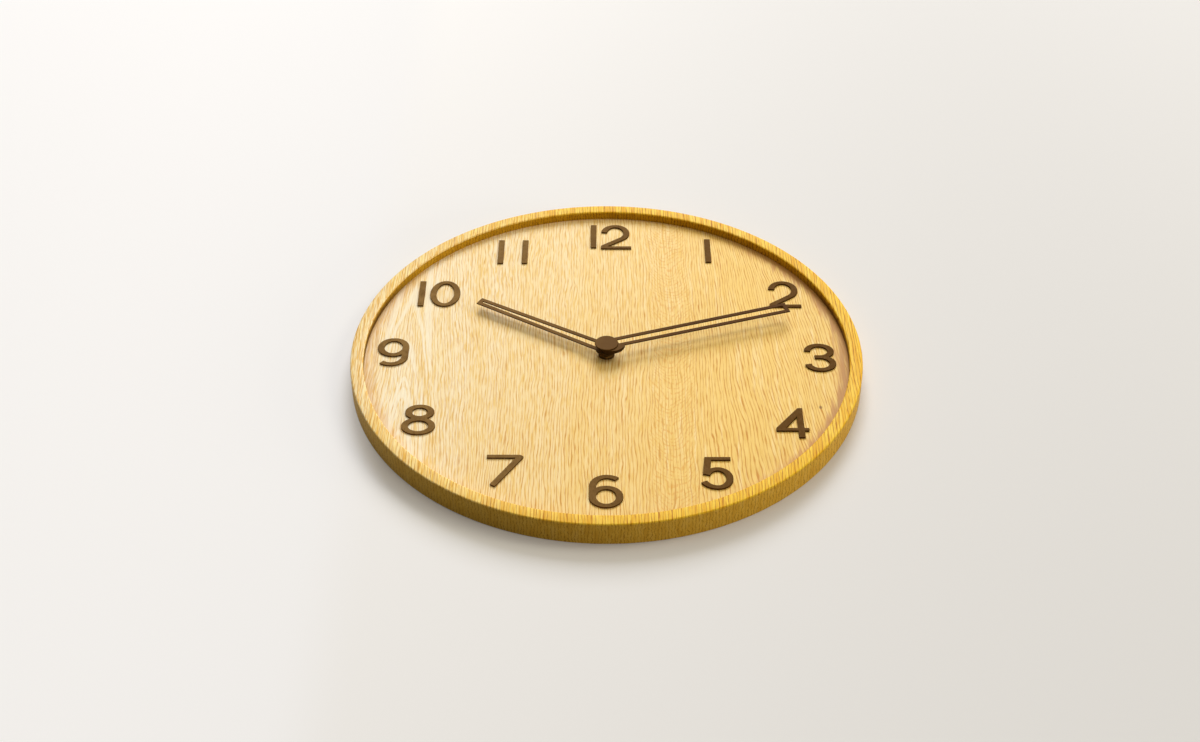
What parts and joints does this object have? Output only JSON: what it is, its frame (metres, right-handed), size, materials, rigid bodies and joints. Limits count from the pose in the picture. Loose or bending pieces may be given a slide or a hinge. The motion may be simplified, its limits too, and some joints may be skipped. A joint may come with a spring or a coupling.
{
  "type": "wall clock",
  "caption": "Round oak wall clock with a slim raised rim, raised dark digits, open-frame hands and a battery quartz movement that hangs by a keyhole ear.",
  "frame": {"origin": "on the axis of the hands, at the back face of the movement, which lies against the wall", "axes": "+Z leaves the dial towards the viewer, +Y points to twelve o'clock, +X points to three o'clock"},
  "size_m": [0.3, 0.3, 0.0295],
  "materials": {
    "oak_rim": "golden oak, clear satin lacquer",
    "oak_face": "pale oak veneer, clear satin lacquer",
    "fibreboard": "bare fibreboard",
    "brown_digit": "matte dark brown",
    "brown_hand": "matte dark brown paint",
    "dark_steel": "black oxide",
    "brass": "machined",
    "black_plastic": "fine moulded texture",
    "white_plastic": "moulded",
    "rubber": "matte",
    "cell_wrap": "plain printed sleeve, no marks",
    "nickel": "nickel plate",
    "soft_iron": "stamped plate",
    "copper": "enamelled copper wire",
    "green_laminate": "circuit laminate",
    "ferrite": "sintered"
  },
  "bodies": {
    "case": {"rim": "oak_rim", "dial_board": "fibreboard", "dial_veneer": "oak_face", "numeral_1": "brown_digit", "numeral_2": "brown_digit", "numeral_3": "brown_digit", "numeral_4": "brown_digit", "numeral_5": "brown_digit", "numeral_6": "brown_digit", "numeral_7": "brown_digit", "numeral_8": "brown_digit", "numeral_9": "brown_digit", "numeral_10_one": "brown_digit", "numeral_10_zero": "brown_digit", "numeral_11_left": "brown_digit", "numeral_11_right": "brown_digit", "numeral_12_one": "brown_digit", "numeral_12_two": "brown_digit", "fixing_washer": "dark_steel", "fixing_nut": "dark_steel", "movement_bush": "brass", "movement_gasket": "rubber", "movement_case": "black_plastic", "movement_cover": "black_plastic", "battery": "cell_wrap", "battery_contact_positive": "nickel", "battery_contact_negative": "nickel", "circuit_board": "green_laminate", "timing_chip": "black_plastic", "quartz_crystal": "nickel", "stator": "soft_iron", "coil_core": "soft_iron", "coil_bobbin": "white_plastic", "coil_winding": "copper"},
    "minute": {"centre_wheel": "brass", "minute_hand": "brown_hand", "hub_cap": "brown_hand"},
    "hour": {"hour_wheel": "white_plastic", "hour_hand": "brown_hand"},
    "motion": {"motion_wheel": "white_plastic"},
    "setting": {"setting_stem": "white_plastic", "setting_knob": "white_plastic"},
    "third": {"third_wheel": "white_plastic"},
    "rotor": {"rotor_magnet": "ferrite", "rotor_pinion": "white_plastic"}
  },
  "joints": [
    {"name": "minute_spin", "type": "hinge", "parent": "case", "child": "minute", "pos_m": [0, 0, 0.028], "axis": [0, 0, -1], "continuous": true},
    {"name": "hour_spin", "type": "hinge", "parent": "case", "child": "hour", "pos_m": [0, 0, 0.0248], "axis": [0, 0, -1], "continuous": true},
    {"name": "motion_spin", "type": "hinge", "parent": "case", "child": "motion", "pos_m": [-0.00727, 0.0042, 0.0122], "axis": [0, 0, -1], "continuous": true},
    {"name": "setting_spin", "type": "hinge", "parent": "case", "child": "setting", "pos_m": [-0.01455, 0.0084, 0.0017], "axis": [0, 0, -1], "continuous": true},
    {"name": "third_spin", "type": "hinge", "parent": "case", "child": "third", "pos_m": [0.00656, 0.00781, 0.0085], "axis": [0, 0, -1], "continuous": true},
    {"name": "rotor_spin", "type": "hinge", "parent": "case", "child": "rotor", "pos_m": [0.01501, 0.01089, 0.0053], "axis": [0, 0, -1], "continuous": true}
  ],
  "couplings": [
    {"joint": "hour_spin", "follows": "minute_spin", "ratio": 0.083333},
    {"joint": "motion_spin", "follows": "minute_spin", "ratio": -0.33333},
    {"joint": "setting_spin", "follows": "minute_spin", "ratio": 1},
    {"joint": "third_spin", "follows": "minute_spin", "ratio": -7.5},
    {"joint": "rotor_spin", "follows": "minute_spin", "ratio": 60}
  ]
}
